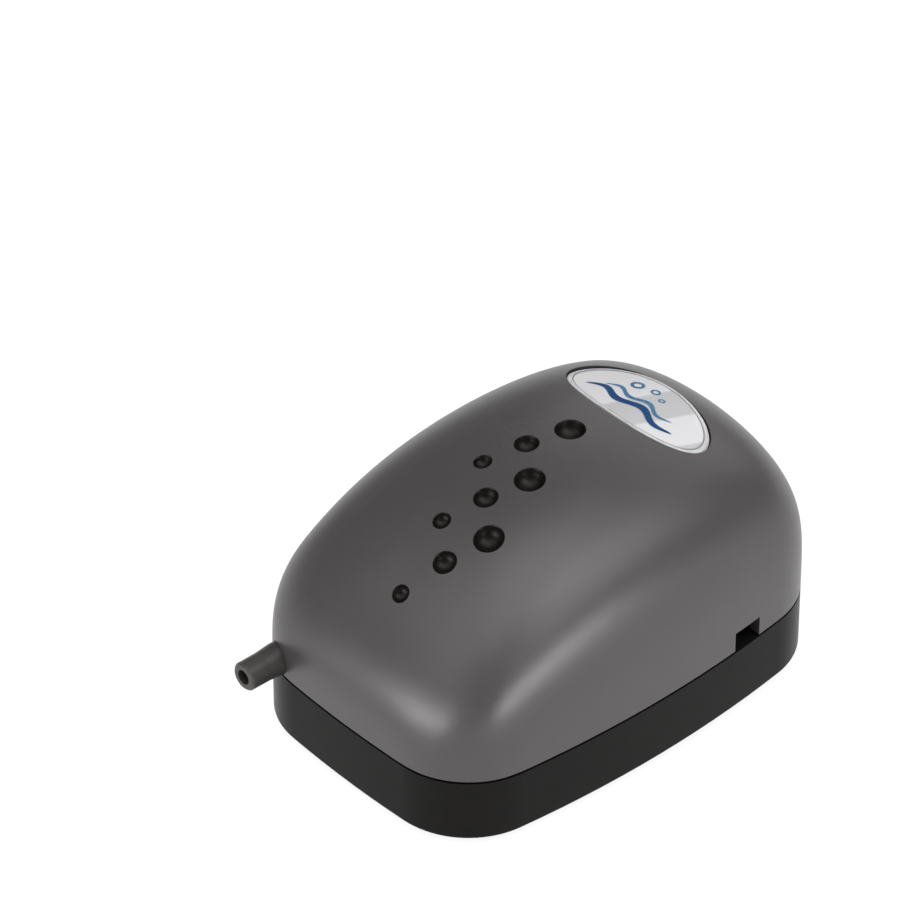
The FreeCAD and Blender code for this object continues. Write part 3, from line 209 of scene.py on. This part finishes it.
def badge_foil():
    """Bright foil with a grey band across its middle and the start of another at its right end: painted
    reflection, the foil's sheen laid down as flat grey tones.
    """
    material, tree, shader, coords = new_material("badge_metal")
    mapping = tree.nodes.new("ShaderNodeMapping")
    mapping.inputs["Rotation"].default_value = (0, 0, FOIL_TURN)
    tree.links.new(coords, mapping.inputs["Vector"])
    parts = tree.nodes.new("ShaderNodeSeparateXYZ")
    tree.links.new(mapping.outputs["Vector"], parts.inputs["Vector"])
    along = tree.nodes.new("ShaderNodeMapRange")
    along.inputs["From Min"].default_value = -FOIL_REACH
    along.inputs["From Max"].default_value = FOIL_REACH
    tree.links.new(parts.outputs["X"], along.inputs["Value"])
    ramp = tree.nodes.new("ShaderNodeValToRGB")
    for _ in FOIL_STOPS[2:]:
        ramp.color_ramp.elements.new(0.5)
    for element, (place, grey) in zip(ramp.color_ramp.elements, FOIL_STOPS):
        element.position = place
        element.color = (grey, grey, grey * 1.02, 1)
    tree.links.new(along.outputs["Result"], ramp.inputs["Fac"])
    tree.links.new(ramp.outputs["Color"], shader.inputs["Base Color"])
    shader.inputs["Roughness"].default_value = 0.3
    shader.inputs["Metallic"].default_value = 0.0
    shader.inputs["Specular IOR Level"].default_value = 0.25
    return material


assign(badge_foil(), "badge_plate")
badge_mesh = nodes["badge_plate"].data
badge_tree = BVHTree.FromPolygons([v.co.copy() for v in badge_mesh.vertices],
                                  [tuple(p.vertices) for p in badge_mesh.polygons])
BADGE_TILT = math.radians(13.0)
BADGE_HALF_X, BADGE_HALF_Y = 16.15 * MM, 8.5 * MM
badge_centre = Vector((0, 27.3, 49.8)) * MM
badge_up = Vector((0, math.sin(BADGE_TILT), math.cos(BADGE_TILT)))
badge_back = Vector((0, math.cos(BADGE_TILT), -math.sin(BADGE_TILT)))


def on_badge(x, y, rise):
    """Point on the badge's face, or just above it, at (x, y) from its middle."""
    start = badge_centre + Vector((x, 0, 0)) + badge_back * y + badge_up * 10 * MM
    spot, normal, _, _ = badge_tree.ray_cast(start, -badge_up)
    if spot is None:
        raise ValueError("point (%g, %g) is off the badge" % (x, y))
    return spot + normal * rise


def inlay(name, rows, material, rise=0.06 * MM):
    """A thin shape on the badge, print or painted highlight and shade: a strip of quads between two edges
    of points.
    """
    mesh = bpy.data.meshes.new(name)
    build = bmesh.new()
    grid = []
    for row in rows:
        spots = [on_badge(x, y, rise) for x, y in row]
        grid.append([build.verts.new(spot) for spot in spots])
    for first, second in zip(grid, grid[1:]):
        for a, b, c, d in zip(first, first[1:], second[1:], second):
            build.faces.new((a, b, c, d))
    bmesh.ops.solidify(build, geom=build.faces[:], thickness=rise * 0.9)
    bmesh.ops.recalc_face_normals(build, faces=build.faces[:])
    build.to_mesh(mesh)
    build.free()
    obj = bpy.data.objects.new(name, mesh)
    scene.collection.objects.link(obj)
    mesh.materials.append(material)
    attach(obj, "housing")
    return obj


def disc_rows(x, y, outer, inner, steps=40):
    """An inner and an outer ring of points round (x, y)."""
    rows = []
    for radius in (inner, outer):
        rows.append([(x + radius * math.cos(2 * math.pi * k / steps),
                      y + radius * math.sin(2 * math.pi * k / steps)) for k in range(steps + 1)])
    return rows


def wave_rows(half_width, middle_y, swing, thickness, steps=48):
    """Upper and lower edge of a wave stroke that tapers to both ends."""
    lower, upper = [], []
    for k in range(steps + 1):
        share = 2 * k / steps - 1
        x = half_width * share
        y = middle_y + swing * math.sin(2.2 * math.pi * share)
        half = thickness / 2 * math.sqrt(max(0.0, 1 - share ** 2)) + 0.03 * MM
        lower.append((x, y - half))
        upper.append((x, y + half))
    return [lower, upper]


def oval_rows(outer, inner, steps=96):
    """Two oval lines of points, given as shares of the badge's half width and half length."""
    rows = []
    for share in (inner, outer):
        rows.append([(BADGE_HALF_X * share * math.cos(2 * math.pi * k / steps),
                      BADGE_HALF_Y * share * math.sin(2 * math.pi * k / steps)) for k in range(steps + 1)])
    return rows


# painted highlight and painted shade: a white rim and a grey line inside it stand in for the light and
# shade on the badge's raised edge
rim_painted_highlight = surface("badge_rim_painted_highlight", (0.80, 0.80, 0.81), 0.3, mottle=0.02)
rim_painted_shade = surface("badge_rim_painted_shade", (0.33, 0.33, 0.34), 0.35, mottle=0.04, specular=0.25)
inlay("badge_rim", oval_rows(0.985, 0.935), rim_painted_highlight)
inlay("badge_rim_line", oval_rows(0.935, 0.918), rim_painted_shade)
deep_blue = surface("motif_deep_blue", (0.008, 0.085, 0.27), 0.35, mottle=0.04, specular=0.15)
pale_blue = surface("motif_pale_blue", (0.09, 0.27, 0.46), 0.35, mottle=0.04, specular=0.15)
inlay("badge_wave_deep", wave_rows(10.5 * MM, -2.6 * MM, 0.9 * MM, 1.7 * MM), deep_blue)
inlay("badge_wave_pale", wave_rows(8.0 * MM, -0.2 * MM, 0.8 * MM, 1.0 * MM), pale_blue)
BUBBLES = ((-4.2, 3.6, 1.35), (-0.6, 4.6, 0.95), (2.2, 3.4, 0.65))
BUBBLE_HOLE = 0.55
for number, (x, y, radius) in enumerate(BUBBLES, start=1):
    rings = disc_rows(x * MM, y * MM, radius * MM, radius * BUBBLE_HOLE * MM)
    inlay("badge_bubble_%d" % number, rings, pale_blue)


# ---------------------------------------------------------------- painted shade in the dimples

RIM_ANGLE = math.radians(25)
DIMPLE_MIDDLE = Vector((1.5, -10.9)) * MM
DIMPLE_ROW, DIMPLE_STEP = Vector((3.8, -13.0)) * MM, Vector((-2.95, -7.65)) * MM


def bowl_faces(start):
    """The smooth patch of faces round one face, as far as the sharp rim."""
    found, waiting = {start}, [start]
    while waiting:
        for edge in waiting.pop().edges:
            if edge.calc_face_angle(math.pi) > RIM_ANGLE:
                continue
            fresh = [face for face in edge.link_faces if face not in found]
            found.update(fresh)
            waiting.extend(fresh)
    return found


def dimple_painted_shade(rise=0.05 * MM):
    """A thin dark coat on the bowls of the cover's nine dimples: painted shade, standing in for the shade
    inside the deep bowls.
    """
    build = bmesh.new()
    build.from_mesh(nodes["upper_cover"].data)
    bmesh.ops.remove_doubles(build, verts=build.verts[:], dist=0.001 * MM)
    build.faces.ensure_lookup_table()
    tree = BVHTree.FromBMesh(build)
    bowls = set()
    for row in (-1, 0, 1):
        for step in (-1, 0, 1):
            spot = DIMPLE_MIDDLE + DIMPLE_ROW * row + DIMPLE_STEP * step
            _, _, index, _ = tree.ray_cast(Vector((*spot, 100 * MM)), Vector((0, 0, -1)))
            bowls |= bowl_faces(build.faces[index])
    others = [face for face in build.faces if face not in bowls]
    bmesh.ops.delete(build, geom=others, context="FACES")
    build.normal_update()
    for vert in build.verts:
        vert.co += vert.normal * rise
    bmesh.ops.solidify(build, geom=build.faces[:], thickness=rise * 0.6)
    bmesh.ops.recalc_face_normals(build, faces=build.faces[:])
    mesh = bpy.data.meshes.new("dimple_painted_shade")
    build.to_mesh(mesh)
    build.free()
    mesh.shade_smooth()
    shade_coat = bpy.data.objects.new("dimple_painted_shade", mesh)
    scene.collection.objects.link(shade_coat)
    # painted shade: a near-black colour with little gloss darkens the bowls as their own shade would
    mesh.materials.append(surface("dimple_painted_shade_black", (0.006, 0.0045, 0.0038), 0.36, specular=0.15))
    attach(shade_coat, "housing")


dimple_painted_shade()


# ---------------------------------------------------------------- rubber diaphragm


def stretching_diaphragm():
    """The rubber cup: a copy of the diaphragm's mesh with its placement baked in, shown in place of the
    hidden diaphragm.
    """
    cup = bpy.data.objects.new("diaphragm_cup", nodes["diaphragm"].data.copy())
    scene.collection.objects.link(cup)
    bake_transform(cup)
    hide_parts("diaphragm")


stretching_diaphragm()


# ---------------------------------------------------------------- floor, light, camera


def make_floor():
    """White paper. The pump doesn't mirror it, so its own lamp can make it white."""
    bpy.ops.mesh.primitive_plane_add(size=6.0, location=(0, 0, 0))
    floor = bpy.context.object
    floor.name = "floor"
    material, tree, shader, coords = new_material("floor_paper")
    tone = spread(tree, noise(tree, coords, 6.0), 0.0, 1.0)
    tree.links.new(blend_colours(tree, tone, (0.90, 0.90, 0.90), (0.93, 0.93, 0.93)),
                   shader.inputs["Base Color"])
    shader.inputs["Roughness"].default_value = 0.9
    shader.inputs["Specular IOR Level"].default_value = 0.1
    floor.data.materials.append(material)
    floor.visible_diffuse = False
    floor.visible_glossy = False
    return floor


# lights: name, azimuth, elevation, width and height in metres, power in watts
SOFT_BOXES = (
    ("key_box", 110, 50, (0.6, 0.5), 3.0),
    ("back_box", 200, 35, (0.8, 0.5), 1.5),
    ("top_box", 60, 80, (0.6, 0.6), 3.0),
    ("fill_box", -20, 50, (0.6, 0.5), 1.5),
    ("left_card", -5, 5, (0.6, 0.25), 4.5),
    ("right_card", 90, 5, (0.6, 0.25), 4.5),
)
FLOOR_LAMP = ("floor_lamp", 0, 90, (2.0, 2.0), 18.0)
LIGHT_DISTANCE = 0.8
LIGHT_AIM = Vector((0, 0, 0.025))


def area_light(name, azimuth, elevation, size, power):
    """A soft box at an azimuth (0 is from -Y, 90 from +X) and elevation, aimed at the pump."""
    turn, lift = math.radians(azimuth), math.radians(elevation)
    way = Vector((math.sin(turn) * math.cos(lift), -math.cos(turn) * math.cos(lift), math.sin(lift)))
    data = bpy.data.lights.new(name, "AREA")
    data.shape = "RECTANGLE"
    data.size, data.size_y = size
    data.energy = power
    light = bpy.data.objects.new(name, data)
    light.location = LIGHT_AIM + way * LIGHT_DISTANCE
    light.rotation_euler = way.to_track_quat("Z", "Y").to_euler()
    scene.collection.objects.link(light)
    return light


def shine_only_on(name, lights, objects):
    """Lights that light the given objects, and are shaded by them, and leave the rest alone."""
    lit = bpy.data.collections.new("lit_by_" + name)
    for obj in objects:
        lit.objects.link(obj)
    for light in lights:
        light.light_linking.receiver_collection = lit
        light.light_linking.blocker_collection = lit


def make_world(below, above):
    """Even grey surroundings, with one tone below the table's level and one above it."""
    world = bpy.data.worlds.new("studio")
    world.use_nodes = True
    tree = world.node_tree
    parts = tree.nodes.new("ShaderNodeSeparateXYZ")
    tree.links.new(tree.nodes.new("ShaderNodeTexCoord").outputs["Generated"], parts.inputs["Vector"])
    half = tree.nodes.new("ShaderNodeMath")
    half.operation = "GREATER_THAN"
    half.inputs[1].default_value = 0.0
    tree.links.new(parts.outputs["Z"], half.inputs[0])
    tone = blend_colours(tree, half.outputs["Value"], (below, below, below), (above, above, above))
    tree.links.new(tone, tree.nodes["Background"].inputs["Color"])
    scene.world = world


def make_camera():
    """Long lens, looking down at the nozzle end and the long side with the cord's notch."""
    azimuth, elevation = math.radians(48.17), math.radians(37.95)
    distance = 1.0871
    aim = Vector((-28.67, 7.74, 31.99)) * MM
    back = Vector((math.sin(azimuth) * math.cos(elevation), -math.cos(azimuth) * math.cos(elevation),
                   math.sin(elevation)))
    right = Vector((math.cos(azimuth), math.sin(azimuth), 0))
    up = back.cross(right)
    data = bpy.data.cameras.new("camera")
    data.lens = 241.1
    data.sensor_width = 36.0
    data.clip_start = 0.05
    data.clip_end = 20.0
    camera = bpy.data.objects.new("camera", data)
    turn = Matrix((right, up, back)).transposed().to_4x4()
    camera.matrix_world = Matrix.Translation(aim + back * distance) @ turn
    scene.collection.objects.link(camera)
    scene.camera = camera


floor = make_floor()
make_world(below=1.2, above=0.3)
make_camera()
pump = [obj for obj in scene.objects if obj.type == "MESH" and obj != floor]
shine_only_on("soft_boxes", [area_light(*light) for light in SOFT_BOXES], pump)
shine_only_on("floor_lamp", [area_light(*FLOOR_LAMP)], [floor])
scene.view_settings.view_transform = "Standard"
scene.view_settings.look = "None"
